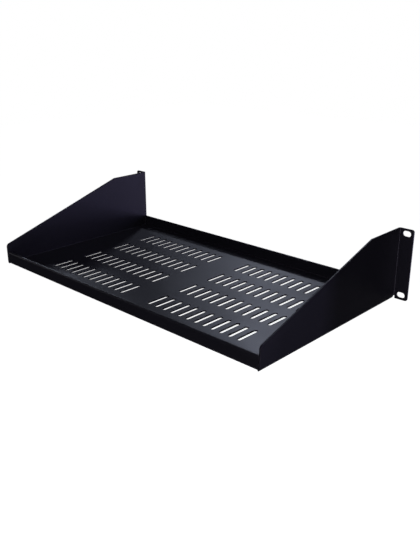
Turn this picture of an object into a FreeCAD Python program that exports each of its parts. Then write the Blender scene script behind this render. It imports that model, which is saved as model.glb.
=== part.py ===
import FreeCAD, Part
import math
import os

# A cantilever rack shelf folded from one sheet of steel: a slotted pan with an upturned lip
# at the front and the rear, a tapered gusset at each side, and a slotted ear on each gusset.
# Frame: X to the right, Y to the back, Z up. The origin is the centre of the four ear slots,
# on the front faces of the ears, which lie against the rack.

# Driving dimensions, in millimetres.

# The rack that the ears are made for.
rack_unit = 44.45
units_high = 2
panel_clearance = 0.8
hole_from_unit_edge = 6.35
rack_hole_spacing = 465.1

# The sheet and its folds.
sheet = 1.9
bend_inside = 1.0
seam_gap = 0.4

# The lips and the gussets.
depth = 254.0
rear_lip_height = 17.4
front_lip_height = 16.5
hem_gap = 0.3
hem_above_pan = 5.0
gusset_front_height = 26.8
gusset_top_run = 63.5
gusset_corner_round = 4.8

# The ears and their slots.
ear_slot_length = 10.3
ear_slot_width = 6.8
ear_inner_land = 3.7
ear_outer_land = 3.6
ear_corner_round = 3.0

# The vent slots: their size, the metal between them and the least metal left around them.
vent_length = 31.75
vent_width = 4.76
vent_land = 7.94
vent_row_land = 19.05
vent_middle_land = 46.04
vent_side_border = 50.0
vent_end_border = 30.0

# Sizes that follow.
panel_height = units_high * rack_unit - panel_clearance
rack_hole_rise = units_high * rack_unit - 2 * hole_from_unit_edge
body_width = rack_hole_spacing - ear_slot_length - 2 * ear_inner_land
overall_width = rack_hole_spacing + ear_slot_length + 2 * ear_outer_land
bend_outside = bend_inside + sheet
hem_outside = hem_gap / 2 + sheet
cut_through = 4 * sheet

# Places that follow: the outer faces, then the lines where flat metal meets a fold. The rear lip's
# outer face is at flat_rear, clear of the ears' folds, so that its ends meet the gussets' flat metal.
front = sheet - depth
rear = sheet
bottom = -panel_height / 2
top = panel_height / 2
side = body_width / 2
ear_end = overall_width / 2
pan_top = bottom + sheet
flat_side = side - bend_outside
flat_front = front + bend_outside
flat_rear = rear - bend_outside
pan_rear = flat_rear - bend_outside
wall_foot = bottom + bend_outside
ear_root = side + bend_inside
lip_end = side - sheet - seam_gap

middle_plane = (FreeCAD.Vector(0, 0, 0), FreeCAD.Vector(1, 0, 0))


def folded_outline(start, heading, runs):
    """The edges round a folded sheet's section, as tuples of two (line) or three (arc) points.

    start is on the sheet's left face and heading is in degrees. Each run is a flat length,
    then a turn in degrees, left being positive, and that turn's inside radius.
    """
    left_face = []
    right_face = []
    x, y = start
    angle = math.radians(heading)
    for length, turn_degrees, inside in runs:
        along = (math.cos(angle), math.sin(angle))
        to_left = (-along[1], along[0])
        if length:
            end = (x + along[0] * length, y + along[1] * length)
            shift = (-to_left[0] * sheet, -to_left[1] * sheet)
            left_face.append(((x, y), end))
            right_face.append(((x + shift[0], y + shift[1]), (end[0] + shift[0], end[1] + shift[1])))
            x, y = end
        if turn_degrees:
            turn = math.radians(turn_degrees)
            to_centre = inside if turn > 0 else -(inside + sheet)
            centre = (x + to_left[0] * to_centre, y + to_left[1] * to_centre)
            stations = [angle, angle + turn / 2, angle + turn]
            for face, reach in ((left_face, to_centre), (right_face, to_centre + sheet)):
                arc = [(centre[0] + math.sin(a) * reach, centre[1] - math.cos(a) * reach) for a in stations]
                face.append(tuple(arc))
            x, y = left_face[-1][-1]
            angle += turn
    last_edge = (left_face[-1][-1], right_face[-1][-1])
    first_edge = (right_face[0][0], left_face[0][0])
    way_back = [tuple(reversed(points)) for points in reversed(right_face)]
    return left_face + [last_edge] + way_back + [first_edge]


def rounded_outline(corners):
    """The edges round a polygon whose corners are given as x, y and the radius of their rounding."""
    entries = []
    for index, (x, y, radius) in enumerate(corners):
        arms = []
        for other in (corners[index - 1], corners[(index + 1) % len(corners)]):
            reach = math.hypot(other[0] - x, other[1] - y)
            arms.append(((other[0] - x) / reach, (other[1] - y) / reach))
        half = math.acos(arms[0][0] * arms[1][0] + arms[0][1] * arms[1][1]) / 2
        inward = ((arms[0][0] + arms[1][0]) / 2, (arms[0][1] + arms[1][1]) / 2)
        run = radius / math.tan(half)
        sag = radius * (1 / math.sin(half) - 1) / math.cos(half)
        arc = [
            (x + arms[0][0] * run, y + arms[0][1] * run),
            (x + inward[0] * sag, y + inward[1] * sag),
            (x + arms[1][0] * run, y + arms[1][1] * run),
        ]
        entries.append((arc, radius))
    edges = []
    for index, (arc, radius) in enumerate(entries):
        came_from = entries[index - 1][0][-1]
        if math.dist(came_from, arc[0]) > 1e-6:
            edges.append((came_from, arc[0]))
        if radius:
            edges.append(tuple(arc))
    return edges


def spot(axis, level, first, second):
    """A point at a level along one axis, with its other two coordinates in X, Y, Z order."""
    coordinates = [first, second]
    coordinates.insert("xyz".index(axis), level)
    return FreeCAD.Vector(*coordinates)


def plate(outline, axis, low, high):
    """A flat or folded plate: an outline drawn across an axis and pushed along it from low to high."""
    edges = []
    for points in outline:
        spots = [spot(axis, low, *point) for point in points]
        curve = Part.LineSegment(*spots) if len(spots) == 2 else Part.Arc(*spots)
        edges.append(curve.toShape())
    return Part.Face(Part.Wire(edges)).extrude(spot(axis, high - low, 0, 0))


def block(x_low, x_high, y_low, y_high, z_low, z_high):
    """A box between two places along each axis."""
    size = (x_high - x_low, y_high - y_low, z_high - z_low)
    return Part.makeBox(*size, FreeCAD.Vector(x_low, y_low, z_low))


def slot_outline(x, y, x_size, y_size):
    """The outline of a slot with fully round ends, about its centre."""
    radius = min(x_size, y_size) / 2
    half_x = x_size / 2
    half_y = y_size / 2
    signs = ((-1, -1), (1, -1), (1, 1), (-1, 1))
    return rounded_outline([(x + sx * half_x, y + sy * half_y, radius) for sx, sy in signs])


def tray():
    """Rear lip, pan and front lip in one folded section, the front lip's top edge hemmed inward."""
    runs = [
        (rear_lip_height - bend_outside, -90, bend_inside),
        (pan_rear - flat_front, -90, bend_inside),
        (front_lip_height - bend_outside - hem_outside, -180, hem_gap / 2),
        (front_lip_height - hem_outside - sheet - hem_above_pan, 0, 0),
    ]
    section = folded_outline((flat_rear, bottom + rear_lip_height), 270, runs)
    folded = plate(section, "x", -lip_end, lip_end)
    notch_side = flat_side - seam_gap
    below = bottom - cut_through
    reliefs = [
        block(flat_side, side, flat_front, pan_rear, below, wall_foot),
        block(notch_side, side, front - cut_through, flat_front, below, wall_foot),
        block(notch_side, side, pan_rear, rear + cut_through, below, wall_foot),
    ]
    mirrored = [relief.mirror(*middle_plane) for relief in reliefs]
    return folded.cut(reliefs + mirrored)


def gusset():
    """The right gusset: folded up from the pan's side and cut to its taper."""
    runs = [(0, 90, bend_inside), (top - wall_foot, 0, 0)]
    section = folded_outline((flat_side, pan_top), 0, runs)
    folded = plate(section, "y", front, rear)
    taper = rounded_outline([
        (front, bottom, 0),
        (flat_rear, bottom, 0),
        (flat_rear, top, 0),
        (rear - gusset_top_run, top, 0),
        (front, bottom + gusset_front_height, gusset_corner_round),
    ])
    return folded.common(plate(taper, "x", flat_side, side))


def ear():
    """The right ear: folded outward from the gusset's rear edge, slotted for the rack's screws."""
    runs = [(0, -90, bend_inside), (ear_end - ear_root, 0, 0)]
    section = folded_outline((side - sheet, flat_rear), 90, runs)
    folded = plate(section, "z", bottom, top)
    relief = wall_foot + seam_gap
    outline = rounded_outline([
        (side - sheet, relief, 0),
        (ear_root, relief, 0),
        (ear_root, bottom, 0),
        (ear_end, bottom, ear_corner_round),
        (ear_end, top, ear_corner_round),
        (side - sheet, top, 0),
    ])
    trimmed = folded.common(plate(outline, "y", flat_rear, rear))
    cutters = []
    for z in (-rack_hole_rise / 2, rack_hole_rise / 2):
        slot = slot_outline(rack_hole_spacing / 2, z, ear_slot_length, ear_slot_width)
        cutters.append(plate(slot, "y", rear - cut_through, rear + cut_through))
    return trimmed.cut(cutters)


def vents():
    """Cutters for the pan's vent slots, in rows of two groups, one each side of the middle."""
    pitch = vent_width + vent_land
    row_pitch = vent_length + vent_row_land
    first = (vent_middle_land + vent_width) / 2
    room_across = side - sheet - vent_side_border - vent_width / 2 - first
    room_along = depth - 2 * vent_end_border - vent_length
    across = 1 + math.floor(room_across / pitch)
    rows = 1 + math.floor(room_along / row_pitch)
    cutters = []
    for row in range(rows):
        y = (front + rear) / 2 + (row - (rows - 1) / 2) * row_pitch
        for step in range(across):
            for x in (-first - step * pitch, first + step * pitch):
                slot = slot_outline(x, y, vent_width, vent_length)
                cutters.append(plate(slot, "z", bottom - cut_through, bottom + cut_through))
    return cutters


right_side = [gusset(), ear()]
left_side = [piece.mirror(*middle_plane) for piece in right_side]
shelf = tray().multiFuse(right_side + left_side).cut(vents()).removeSplitter().Solids[0]

os.makedirs("parts", exist_ok=True)
shelf.exportStep("parts/shelf.step")
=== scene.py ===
import math

import bmesh
import bpy
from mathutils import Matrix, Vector


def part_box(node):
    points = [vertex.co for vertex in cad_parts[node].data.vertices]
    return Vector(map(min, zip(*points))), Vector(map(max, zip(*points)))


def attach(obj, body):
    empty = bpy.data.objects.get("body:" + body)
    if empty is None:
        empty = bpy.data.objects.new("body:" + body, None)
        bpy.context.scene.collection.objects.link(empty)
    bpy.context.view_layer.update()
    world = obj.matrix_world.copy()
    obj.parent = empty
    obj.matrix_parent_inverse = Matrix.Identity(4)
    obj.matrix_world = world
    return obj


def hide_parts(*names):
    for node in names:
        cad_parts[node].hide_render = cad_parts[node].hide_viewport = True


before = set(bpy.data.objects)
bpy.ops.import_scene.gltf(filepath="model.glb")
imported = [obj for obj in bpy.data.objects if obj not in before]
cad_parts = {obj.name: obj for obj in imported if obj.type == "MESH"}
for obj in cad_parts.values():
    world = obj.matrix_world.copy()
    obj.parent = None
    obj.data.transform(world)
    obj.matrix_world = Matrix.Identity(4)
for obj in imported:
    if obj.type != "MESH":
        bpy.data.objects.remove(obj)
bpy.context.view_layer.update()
scene = bpy.context.scene

# The pan is the flat bottom of the shelf, the middle of one sheet of 1.9 mm cold-rolled steel.
# Its vent slots are punched while the sheet is flat, before anything is folded up round it.
# Each section adds its part of the sheet's outer skin, and the last one gives it thickness.
mm = 0.001
sheet = 1.9 * mm
bend_inside = 1.0 * mm
bend_outside = bend_inside + sheet
seam_gap = 0.4 * mm
edge_round = 0.25 * mm
vent_length = 31.75 * mm
vent_width = 4.76 * mm
vent_pitch = 12.7 * mm
vent_row_pitch = 50.8 * mm
vents_across = 12
vent_rows = 4
vent_groups = 2
vent_group_pitch = 190.5 * mm
slot_end_steps = 7
punch_weld = 0.001 * mm
body_width = 447.4 * mm
pan_spans_across = 12
pan_spans_along = 8

low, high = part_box("shelf")
front = low.y
rear = high.y
bottom = low.z
side = body_width / 2
flat_side = side - bend_outside
flat_front = front + bend_outside
flat_rear = rear - bend_outside
flat_back = flat_rear - bend_outside
fold_end = flat_side - seam_gap - edge_round
pan_front = flat_front + edge_round
pan_rear = flat_back - edge_round

skin = bmesh.new()
facing = skin.verts.layers.float_vector.new("facing")


def spread(first, last, steps):
    """Evenly spaced values from first to last, both included."""
    return [first + (last - first) * step / steps for step in range(steps + 1)]


def add_faces(places, ways, faces):
    """Adds faces to the skin, from their corners' places and the way the metal faces there."""
    corners = []
    for place, way in zip(places, ways):
        corner = skin.verts.new(place)
        corner[facing] = way
        corners.append(corner)
    for face in faces:
        skin.faces.new([corners[index] for index in face])


def slot_punch_tree():
    """Nodes that fill a plate's outline and punch groups of slots, in rows and columns."""
    tree = bpy.data.node_groups.new("slot_punch", "GeometryNodeTree")
    sockets = (
        ("Outline", "INPUT", "NodeSocketGeometry"),
        ("Slot X", "INPUT", "NodeSocketFloat"),
        ("Slot Y", "INPUT", "NodeSocketFloat"),
        ("End Steps", "INPUT", "NodeSocketInt"),
        ("Columns", "INPUT", "NodeSocketInt"),
        ("Column Pitch", "INPUT", "NodeSocketFloat"),
        ("Rows", "INPUT", "NodeSocketInt"),
        ("Row Pitch", "INPUT", "NodeSocketFloat"),
        ("Groups", "INPUT", "NodeSocketInt"),
        ("Group Pitch", "INPUT", "NodeSocketFloat"),
        ("Centre", "INPUT", "NodeSocketVector"),
        ("Finish", "INPUT", "NodeSocketMaterial"),
        ("Plate", "OUTPUT", "NodeSocketGeometry"),
    )
    for name, way, kind in sockets:
        tree.interface.new_socket(name, in_out=way, socket_type=kind)
    given = tree.nodes.new("NodeGroupInput").outputs

    def node(kind, values=None, **settings):
        """Adds a node, with its inputs linked or set, and gives its first output."""
        made = tree.nodes.new(kind)
        for name, value in settings.items():
            setattr(made, name, value)
        for socket, value in (values or {}).items():
            if isinstance(value, bpy.types.NodeSocket):
                tree.links.new(value, made.inputs[socket])
            else:
                made.inputs[socket].default_value = value
        return made.outputs[0]

    def centred_line(count, pitch, axis):
        """A line of points along an axis, about the origin."""
        spans = node("ShaderNodeMath", {0: given[count], 1: 1.0}, operation="SUBTRACT")
        length = node("ShaderNodeMath", {0: spans, 1: given[pitch]}, operation="MULTIPLY")
        start = node("ShaderNodeMath", {0: length, 1: -0.5}, operation="MULTIPLY")
        first = node("ShaderNodeCombineXYZ", {axis: start})
        step = node("ShaderNodeCombineXYZ", {axis: given[pitch]})
        line = {"Count": given[count], "Start Location": first, "Offset": step}
        return node("GeometryNodeMeshLine", line)

    def repeat(instance, points):
        """A copy of a shape at each point."""
        placed = node("GeometryNodeInstanceOnPoints", {"Points": points, "Instance": instance})
        return node("GeometryNodeRealizeInstances", {"Geometry": placed})

    shorter = node("ShaderNodeMath", {0: given["Slot X"], 1: given["Slot Y"]}, operation="MINIMUM")
    end_radius = node("ShaderNodeMath", {0: shorter, 1: 0.5}, operation="MULTIPLY")
    sizes = {"Width": given["Slot X"], "Height": given["Slot Y"]}
    square = node("GeometryNodeCurvePrimitiveQuadrilateral", sizes)
    ends = {
        "Curve": square,
        "Count": given["End Steps"],
        "Radius": end_radius,
        "Limit Radius": True,
    }
    slot = node("GeometryNodeFilletCurve", ends, mode="POLY")
    column = repeat(slot, centred_line("Columns", "Column Pitch", "X"))
    rows = repeat(column, centred_line("Rows", "Row Pitch", "Y"))
    groups = repeat(rows, centred_line("Groups", "Group Pitch", "X"))
    slots = node("GeometryNodeTransform", {"Geometry": groups, "Translation": given["Centre"]})
    outline = node("GeometryNodeMeshToCurve", {"Mesh": given["Outline"]})
    curves = tree.nodes.new("GeometryNodeJoinGeometry")
    tree.links.new(slots, curves.inputs[0])
    tree.links.new(outline, curves.inputs[0])
    filled = node("GeometryNodeFillCurve", {"Curve": curves.outputs[0]}, mode="TRIANGLES")
    welded = node("GeometryNodeMergeByDistance", {"Geometry": filled, "Distance": punch_weld})
    realised = node("GeometryNodeRealizeInstances", {"Geometry": welded})
    finished = node("GeometryNodeSetMaterial", {"Geometry": realised, "Material": given["Finish"]})
    plate = tree.nodes.new("NodeGroupOutput")
    tree.links.new(finished, plate.inputs["Plate"])
    return tree


slot_punch = slot_punch_tree()
powder_coat = bpy.data.materials.new("powder_coat")


def punched_plate(name, outline, sizes):
    """The points and triangles of a flat plate, with the slots that sizes gives."""
    count = len(outline)
    loop = bpy.data.meshes.new(name)
    edges = [(index, (index + 1) % count) for index in range(count)]
    loop.from_pydata([(x, y, 0) for x, y in outline], edges, [])
    blank = bpy.data.objects.new(name, loop)
    scene.collection.objects.link(blank)
    punch = blank.modifiers.new("punch", "NODES")
    punch.node_group = slot_punch
    values = dict(sizes, Finish=powder_coat)
    for socket in slot_punch.interface.items_tree:
        if socket.in_out == "INPUT" and socket.name in values:
            punch[socket.identifier] = values[socket.name]
    punched = blank.evaluated_get(bpy.context.evaluated_depsgraph_get())
    plate = bpy.data.meshes.new_from_object(punched)
    points = [(point.co.x, point.co.y) for point in plate.vertices]
    faces = [tuple(face.vertices) for face in plate.polygons]
    bpy.data.objects.remove(blank)
    bpy.data.meshes.remove(loop)
    bpy.data.meshes.remove(plate)
    return points, faces


across = spread(-fold_end, fold_end, pan_spans_across)
along = spread(pan_front, pan_rear, pan_spans_along)
pan_outline = [(x, flat_front) for x in across]
pan_outline += [(fold_end, pan_front)]
pan_outline += [(flat_side, y) for y in along]
pan_outline += [(fold_end, pan_rear)]
pan_outline += [(x, flat_back) for x in reversed(across)]
pan_outline += [(-fold_end, pan_rear)]
pan_outline += [(-flat_side, y) for y in reversed(along)]
pan_outline += [(-fold_end, pan_front)]
vent_sizes = {
    "Slot X": vent_width + 2 * edge_round,
    "Slot Y": vent_length + 2 * edge_round,
    "End Steps": slot_end_steps,
    "Columns": vents_across,
    "Column Pitch": vent_pitch,
    "Rows": vent_rows,
    "Row Pitch": vent_row_pitch,
    "Groups": vent_groups,
    "Group Pitch": vent_group_pitch,
    "Centre": (0, (front + rear) / 2, 0),
}
pan_points, pan_faces = punched_plate("pan", pan_outline, vent_sizes)
pan_places = [(x, y, bottom) for x, y in pan_points]
add_faces(pan_places, [(0, 0, -1)] * len(pan_places), pan_faces)

# The lips are the front and rear edges of the same sheet, folded up so that nothing slides off.
# The front lip's top is hemmed: folded back on itself and pressed nearly flat, for a safe edge.
# The rear lip is a plain fold. Both stop just short of the gussets, with a narrow open seam.
front_lip_height = 16.5 * mm
rear_lip_height = 17.4 * mm
hem_gap = 0.3 * mm
hem_outside = hem_gap / 2 + sheet
hem_above_pan = 5.0 * mm
bend_steps = 8
hem_steps = 14
wall_foot = bottom + bend_outside
lip_end = side - sheet - seam_gap - edge_round
corner_support = 1.0 * mm


def add_grid(rows, keep):
    """Adds quads through rows of places and ways, for the cells that keep allows."""
    count = len(rows[0])
    points = [point for row in rows for point in row]
    faces = []
    for row in range(len(rows) - 1):
        for column in range(count - 1):
            if keep(row, column):
                start = row * count + column
                faces.append((start, start + 1, start + count + 1, start + count))
    add_faces([place for place, _ in points], [way for _, way in points], faces)


def add_lip(profile):
    """Sweeps a lip's profile of y, z and facing along X, wider above the fold than in it."""
    columns = [-lip_end] + across + [lip_end]
    rows = [[((x, y, z), (0, way_y, way_z)) for x in columns] for y, z, way_y, way_z in profile]
    last = len(columns) - 2
    add_grid(rows, lambda row, column: row > bend_steps or 0 < column < last)


def lip_fold(y, toward):
    """The fold from the pan up to a lip, about a line at y, and the first station above it."""
    stations = []
    for turn in spread(0, math.pi / 2, bend_steps):
        out, down = math.sin(turn), math.cos(turn)
        place = (y + toward * bend_outside * out, wall_foot - bend_outside * down)
        stations.append(place + (toward * out, -down))
    stations.append((y + toward * bend_outside, wall_foot + edge_round, toward, 0))
    return stations


rear_profile = lip_fold(flat_back, 1)
rear_lip_top = bottom + rear_lip_height - edge_round
for z in (rear_lip_top - corner_support, rear_lip_top):
    rear_profile.append((flat_rear, z, 1, 0))
add_lip(rear_profile)

front_profile = lip_fold(flat_front, -1)
hem_foot = bottom + front_lip_height - hem_outside
for turn in spread(0, math.pi, hem_steps):
    out, up = math.cos(turn), math.sin(turn)
    front_profile.append((front + hem_outside * (1 - out), hem_foot + hem_outside * up, -out, up))
hem_edge = bottom + sheet + hem_above_pan + edge_round
for z in (hem_edge + corner_support, hem_edge):
    front_profile.append((front + 2 * hem_outside, z, 1, 0))
add_lip(front_profile)

# The gussets are the sheet's two sides, folded up square to stiffen the shelf and cut to a taper.
# The ears are folded outward from their rear edges, and slotted for the four mounting screws.
# A small relief is cut where each fold meets the next, so that the metal does not tear.
gusset_front_height = 26.8 * mm
gusset_top_run = 63.5 * mm
gusset_corner_round = 4.8 * mm
kink_round = 3.0 * mm
top = high.z
ear_bend_steps = 6
ear_end = high.x
ear_root = side + bend_inside
ear_foot = wall_foot + seam_gap + edge_round
ear_corner_round = 3.0 * mm
ear_root_round = 0.5 * mm
ear_slot_length = 10.3 * mm
ear_slot_width = 6.8 * mm
ear_slot_spacing = 465.1 * mm
ear_slot_rise = 76.2 * mm
ear_slot_rows = 2
ear_level_reach = 30 * mm
ear_level_spans = 4
corner_steps = 8


def inset_corners(corners, insets):
    """Moves each side of a polygon inward, side i running from corner i to the next one."""
    moved = []
    for index in range(len(corners)):
        lines = []
        for first in (index - 1, index):
            a = Vector(corners[first])
            b = Vector(corners[(first + 1) % len(corners)])
            inward = Vector((a.y - b.y, b.x - a.x)).normalized()
            lines.append((inward, inward.dot(a) + insets[first]))
        (n1, d1), (n2, d2) = lines
        turn = n1.x * n2.y - n1.y * n2.x
        x = (d1 * n2.y - d2 * n1.y) / turn
        y = (d2 * n1.x - d1 * n2.x) / turn
        moved.append(Vector((x, y)))
    return moved


def rounded_corner(before, corner, after, radius):
    """Points along the arc that rounds a polygon's corner."""
    arm_in = (before - corner).normalized()
    arm_out = (after - corner).normalized()
    half = arm_in.angle(arm_out) / 2
    centre = corner + (arm_in + arm_out).normalized() * (radius / math.sin(half))
    start = corner + arm_in * (radius / math.tan(half)) - centre
    end = corner + arm_out * (radius / math.tan(half)) - centre
    sweep = start.angle_signed(end)
    turned = []
    for turn in spread(0, -sweep, corner_steps):
        cos, sin = math.cos(turn), math.sin(turn)
        spoke = (start.x * cos - start.y * sin, start.x * sin + start.y * cos)
        turned.append(centre + Vector(spoke))
    return turned


gusset_corners = [
    (front, wall_foot),
    (flat_rear, wall_foot),
    (flat_rear, top),
    (rear - gusset_top_run, top),
    (front, bottom + gusset_front_height),
]
gusset_insets = [0, 0, edge_round, edge_round, edge_round]
foot_front, _, rear_top, kink, front_top = inset_corners(gusset_corners, gusset_insets)
taper = rounded_corner(rear_top, kink, front_top, kink_round)
taper += rounded_corner(kink, front_top, foot_front, gusset_corner_round - edge_round)

fold_end_rear = flat_rear - edge_round
side_lines = [front + edge_round] + along + [fold_end_rear]
ear_levels = [ear_foot, ear_foot + corner_support]
ear_levels += spread(-ear_level_reach, ear_level_reach, ear_level_spans)
ear_levels += [top - edge_round - corner_support, top - edge_round]
gusset_outline = [(y, wall_foot) for y in side_lines]
gusset_outline += [(fold_end_rear, ear_foot)]
gusset_outline += [(flat_rear, z) for z in ear_levels]
gusset_outline += [(point.x, point.y) for point in taper]

edge_turn = edge_round / bend_outside
turns = [0] + spread(edge_turn, math.pi / 2 - edge_turn, bend_steps) + [math.pi / 2]

ear_corners = [
    (ear_root, bottom),
    (ear_end, bottom),
    (ear_end, top),
    (ear_root, top),
]
inset_ear = inset_corners(ear_corners, [edge_round] * len(ear_corners))
ear_outline = [(ear_root, z) for z in reversed(ear_levels)]
ear_outline += [(inset_ear[0].x, ear_foot), (inset_ear[0].x, ear_foot - seam_gap)]
ear_rounds = (ear_root_round, ear_corner_round - edge_round, ear_corner_round - edge_round)
for index, radius in enumerate(ear_rounds):
    neighbours = inset_ear[index - 1], inset_ear[index], inset_ear[index + 1]
    ear_outline += [(point.x, point.y) for point in rounded_corner(*neighbours, radius)]
ear_sizes = {
    "Slot X": ear_slot_length + 2 * edge_round,
    "Slot Y": ear_slot_width + 2 * edge_round,
    "End Steps": slot_end_steps,
    "Columns": 1,
    "Column Pitch": ear_slot_length,
    "Rows": ear_slot_rows,
    "Row Pitch": ear_slot_rise,
    "Groups": 1,
    "Group Pitch": ear_slot_length,
    "Centre": (ear_slot_spacing / 2, 0, 0),
}
ear_points, ear_faces = punched_plate("ear", ear_outline, ear_sizes)

for hand in (1, -1):
    fold = []
    for turn in turns:
        out, down = math.sin(turn), math.cos(turn)
        x = hand * (flat_side + bend_outside * out)
        z = wall_foot - bend_outside * down
        fold.append([((x, y, z), (hand * out, 0, -down)) for y in side_lines])
    last_line = len(side_lines) - 2
    add_grid(fold, lambda row, column: row > 0 or 0 < column < last_line)

    wall = [(hand * side, y, z) for y, z in gusset_outline]
    add_faces(wall, [(hand, 0, 0)] * len(wall), [range(len(wall))])

    ear_fold = []
    for turn in spread(0, math.pi / 2, ear_bend_steps):
        x = hand * (ear_root - bend_inside * math.cos(turn))
        y = flat_rear + bend_inside * math.sin(turn)
        way = (hand * math.cos(turn), -math.sin(turn), 0)
        ear_fold.append([((x, y, z), way) for z in ear_levels])
    add_grid(ear_fold, lambda row, column: True)

    ear = [(hand * x, flat_rear + bend_inside, z) for x, z in ear_points]
    add_faces(ear, [(0, -1, 0)] * len(ear), ear_faces)

# The folded sheet: the skin above gets the metal's thickness, with the soft rounded edges that a
# deburred and coated sheet has. It is then finished all over in a satin black powder coat, baked
# on, which flows out to a fine orange peel and is never quite even in gloss.
round_steps = 3
skin_weld = 0.002 * mm

bmesh.ops.remove_doubles(skin, verts=skin.verts, dist=skin_weld)
bmesh.ops.delete(skin, geom=[v for v in skin.verts if not v.link_faces], context="VERTS")
skin.normal_update()
for face in skin.faces:
    if sum((corner[facing] for corner in face.verts), Vector()).dot(face.normal) < 0:
        face.normal_flip()
skin.verts.index_update()

places = [corner.co.copy() for corner in skin.verts]
ways = [corner[facing].normalized() for corner in skin.verts]
inner = len(places)
places += [place - way * sheet for place, way in zip(places, ways)]
ways += [-way for way in ways]
faces = []
for face in skin.faces:
    ring = [corner.index for corner in face.verts]
    faces.append(ring)
    faces.append([index + inner for index in reversed(ring)])

after, before = {}, {}
for edge in skin.edges:
    if edge.is_boundary:
        loop = edge.link_loops[0]
        start, end = loop.vert.index, loop.link_loop_next.vert.index
        after[start] = end
        before[end] = start
quarter_turn = spread(0, math.pi / 2, round_steps)
rims = {}
for corner in after:
    place, way = places[corner], ways[corner]
    coming = place - places[before[corner]]
    going = places[after[corner]] - place
    out_1 = coming.cross(way).normalized()
    out_2 = going.cross(way).normalized()
    reach = (out_1 + out_2) / (1 + out_1.dot(out_2))
    outward = (out_1 * coming.length + out_2 * going.length).normalized()
    rim = [corner]
    for turn in quarter_turn[1:]:
        sin, cos = math.sin(turn), math.cos(turn)
        rim.append(len(places))
        places.append(place + edge_round * (reach * sin - way * (1 - cos)))
        ways.append(way * cos + outward * sin)
    for turn in quarter_turn[:-1]:
        sin, cos = math.sin(turn), math.cos(turn)
        rim.append(len(places))
        places.append(place + edge_round * (reach * cos + way * (1 - sin)) - way * sheet)
        ways.append(outward * cos - way * sin)
    rim.append(corner + inner)
    rims[corner] = rim
for start, end in after.items():
    for a, b, c, d in zip(rims[start], rims[start][1:], rims[end][1:], rims[end]):
        faces.append((a, b, c, d))
skin.free()

folded = bpy.data.meshes.new("folded_shelf")
folded.from_pydata(places, [], faces)
folded.polygons.foreach_set("use_smooth", [True] * len(folded.polygons))
folded.normals_split_custom_set_from_vertices([way.normalized() for way in ways])
folded.materials.append(powder_coat)
shelf = bpy.data.objects.new("folded_shelf", folded)
scene.collection.objects.link(shelf)

coat_dark = (0.0080, 0.0075, 0.0120, 1)
coat_light = (0.0110, 0.0105, 0.0165, 1)
coat_sheen = (0.82, 0.74, 1.0, 1)
coat_ior = 1.5
coat_gloss = (0.42, 0.48)
cloud_range = (0.3, 0.7)
grain_share = 0.3
peel_depth = 0.05 * mm
peel_size = 2.0 * mm
grain_size = 0.4 * mm
cloud_size = 60 * mm

powder_coat.use_nodes = True
coat_nodes = powder_coat.node_tree.nodes
coat_links = powder_coat.node_tree.links
paint = coat_nodes["Principled BSDF"]
paint.inputs["IOR"].default_value = coat_ior
paint.inputs["Specular Tint"].default_value = coat_sheen
where = coat_nodes.new("ShaderNodeTexCoord").outputs["Object"]


def coat_noise(size, detail):
    """Noise over the coat with features of about the given size."""
    noise = coat_nodes.new("ShaderNodeTexNoise")
    noise.inputs["Scale"].default_value = 1 / size
    noise.inputs["Detail"].default_value = detail
    coat_links.new(where, noise.inputs["Vector"])
    return noise.outputs["Fac"]


peel = coat_noise(peel_size, detail=1.0)
grain = coat_noise(grain_size, detail=0.0)
cloud = coat_noise(cloud_size, detail=3.0)

shade = coat_nodes.new("ShaderNodeMix")
shade.data_type = "RGBA"
shade.inputs["A"].default_value = coat_dark
shade.inputs["B"].default_value = coat_light
coat_links.new(grain, shade.inputs["Factor"])
coat_links.new(shade.outputs["Result"], paint.inputs["Base Color"])

gloss = coat_nodes.new("ShaderNodeMapRange")
gloss.inputs["From Min"].default_value = cloud_range[0]
gloss.inputs["From Max"].default_value = cloud_range[1]
gloss.inputs["To Min"].default_value = coat_gloss[0]
gloss.inputs["To Max"].default_value = coat_gloss[1]
coat_links.new(cloud, gloss.inputs["Value"])
coat_links.new(gloss.outputs["Result"], paint.inputs["Roughness"])

surface = coat_nodes.new("ShaderNodeMix")
surface.inputs["Factor"].default_value = grain_share
coat_links.new(peel, surface.inputs["A"])
coat_links.new(grain, surface.inputs["B"])
relief = coat_nodes.new("ShaderNodeBump")
relief.inputs["Distance"].default_value = peel_depth
coat_links.new(surface.outputs["Result"], relief.inputs["Height"])
coat_links.new(relief.outputs["Normal"], paint.inputs["Normal"])

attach(shelf, "root")
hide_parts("shelf")

# The floor is a plain pale sweep, well below the shelf, which hangs clear of it in the air.
# It is left out of the shelf's own reflections, which come from the soft lights alone.
floor_level = -1.25
floor_half = 9.0
floor_pale = (0.9, 0.9, 0.9, 1)
floor_glow = (1, 1, 1, 1)
floor_glow_strength = 1.0
floor_roughness = 0.9

floor_mesh = bpy.data.meshes.new("floor")
floor_corners = []
for x, y in ((-1, -1), (1, -1), (1, 1), (-1, 1)):
    floor_corners.append((x * floor_half, y * floor_half, floor_level))
floor_mesh.from_pydata(floor_corners, [], [range(len(floor_corners))])
floor = bpy.data.objects.new("floor", floor_mesh)
scene.collection.objects.link(floor)
floor.visible_diffuse = False
floor.visible_glossy = False
pale = bpy.data.materials.new("pale_floor")
pale.use_nodes = True
pale_paint = pale.node_tree.nodes["Principled BSDF"]
pale_paint.inputs["Base Color"].default_value = floor_pale
pale_paint.inputs["Roughness"].default_value = floor_roughness
pale_paint.inputs["Emission Color"].default_value = floor_glow
pale_paint.inputs["Emission Strength"].default_value = floor_glow_strength
floor_mesh.materials.append(pale)

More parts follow.
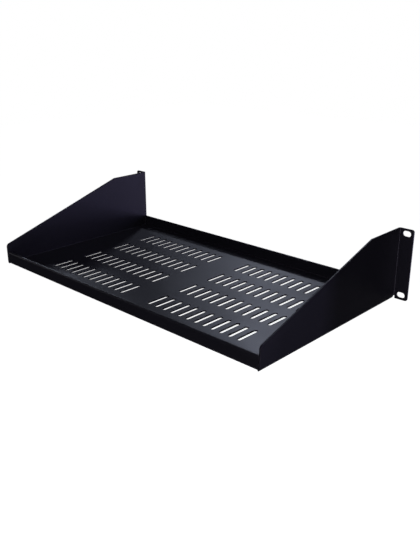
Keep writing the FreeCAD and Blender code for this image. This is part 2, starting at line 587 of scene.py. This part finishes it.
# The light is a plain studio in a dark room: softboxes behind the shelf make the sheen on its pan
# and its gussets, and dimmer fills stand all round it. Two black flags beside the ears shade the
# softboxes, and only cast shadows. The white backdrop is for the camera alone.
cool = (0.80, 0.89, 1.0)
blue = (0.67, 0.65, 1.0)
white = (1.0, 1.0, 1.0)
# Each light's heading, from the back toward the left, and its rise, in degrees; its distance and
# width, in metres; its brightness and its tint; and whether the flags shade it.
softboxes = {
    "key_softbox": (33, 34, 2.0, 0.21, 27.0, cool, True),
    "left_back_softbox": (57, 34, 2.0, 0.21, 5.2, cool, True),
    "left_softbox": (70, 25, 2.0, 0.21, 16.0, cool, True),
    "right_softbox": (-60, 3, 2.0, 0.49, 3.4, blue, True),
    "low_softbox": (-30, -10, 2.0, 0.49, 3.5, blue, True),
    "right_back_fill": (-45, 30, 2.0, 0.80, 0.8, cool, True),
    "back_fill": (0, -15, 2.0, 0.80, 1.0, white, False),
    "left_fill": (78, -12, 2.0, 0.80, 2.5, white, False),
    "front_left_fill": (115, 10, 2.0, 0.80, 0.7, white, False),
    "front_fill": (180, 12, 2.0, 0.80, 0.9, white, False),
    "high_fill": (-140, 24, 2.0, 0.80, 1.3, white, False),
    "front_right_fill": (-130, -15, 2.0, 0.80, 2.8, white, False),
    "right_fill": (-90, 5, 2.0, 0.80, 0.6, white, False),
    "top_fill": (0, 88, 1.6, 0.80, 0.9, white, False),
    "floor_fill": (0, -88, 1.1, 1.60, 0.35, white, False),
    "below_fill": (20, -40, 1.4, 1.00, 1.3, white, False),
}
energy_for_brightness = 4
room_light = (0.003, 0.003, 0.004, 1)
backdrop_white = (1, 1, 1, 1)
aim = Vector((0, (front + rear) / 2, bottom))
flag_inner = 226 * mm
flag_outer = 300 * mm
flag_front = -85 * mm
flag_rear = 0.0
flag_half_height = 600 * mm

flag_section = [
    (flag_inner, flag_front),
    (flag_outer, flag_front),
    (flag_outer, flag_rear),
    (flag_inner, flag_rear),
]
flag_corners = []
flag_faces = []
flag_sides = len(flag_section)
for hand in (1, -1):
    first = len(flag_corners)
    for z in (-flag_half_height, flag_half_height):
        flag_corners += [(hand * x, y, z) for x, y in flag_section]
    for step in range(flag_sides):
        ahead = (step + 1) % flag_sides
        board = (step, ahead, ahead + flag_sides, step + flag_sides)
        flag_faces.append([first + index for index in board])
flag_mesh = bpy.data.meshes.new("flags")
flag_mesh.from_pydata(flag_corners, [], flag_faces)
flags = bpy.data.objects.new("flags", flag_mesh)
scene.collection.objects.link(flags)
flags.visible_camera = False
flags.visible_diffuse = False
flags.visible_glossy = False
flags.visible_transmission = False

unshaded = bpy.data.collections.new("unshaded")
unshaded.objects.link(shelf)
shaded = bpy.data.collections.new("shaded")
shaded.objects.link(shelf)
shaded.objects.link(flags)
for name, (heading, rise, reach, width, brightness, tint, flagged) in softboxes.items():
    panel = bpy.data.lights.new(name, "AREA")
    panel.shape = "SQUARE"
    panel.size = width
    panel.normalize = False
    panel.energy = energy_for_brightness * brightness
    panel.color = tint
    turn, tilt = math.radians(heading), math.radians(rise)
    level = math.cos(tilt)
    way = Vector((-math.sin(turn) * level, math.cos(turn) * level, math.sin(tilt)))
    stand = bpy.data.objects.new(name, panel)
    stand.location = aim + way * reach
    stand.rotation_euler = way.to_track_quat("Z", "Y").to_euler()
    stand.light_linking.blocker_collection = shaded if flagged else unshaded
    scene.collection.objects.link(stand)

world = bpy.data.worlds.new("studio")
world.use_nodes = True
scene.world = world
sky = world.node_tree.nodes
sky_links = world.node_tree.links
room = sky["Background"]
room.inputs["Color"].default_value = room_light
backdrop = sky.new("ShaderNodeBackground")
backdrop.inputs["Color"].default_value = backdrop_white
seen = sky.new("ShaderNodeMixShader")
rays = sky.new("ShaderNodeLightPath")
sky_links.new(rays.outputs["Is Camera Ray"], seen.inputs["Fac"])
sky_links.new(room.outputs["Background"], seen.inputs[1])
sky_links.new(backdrop.outputs["Background"], seen.inputs[2])
sky_links.new(seen.outputs["Shader"], sky["World Output"].inputs["Surface"])
scene.view_settings.view_transform = "Standard"

# The camera stands to the front and right of the shelf and looks down on it. Its place and its
# lens are those of the photograph.
camera_place = (0.5773, -0.6945, 0.2684)
camera_heading = 43.42
camera_dip = 20.06
focal_length = 45.34
sensor_width = 36.0

lens = bpy.data.cameras.new("camera")
lens.sensor_width = sensor_width
lens.lens = focal_length
camera = bpy.data.objects.new("camera", lens)
camera.location = camera_place
camera.rotation_euler = (math.radians(90 - camera_dip), 0, math.radians(camera_heading))
scene.collection.objects.link(camera)
scene.camera = camera
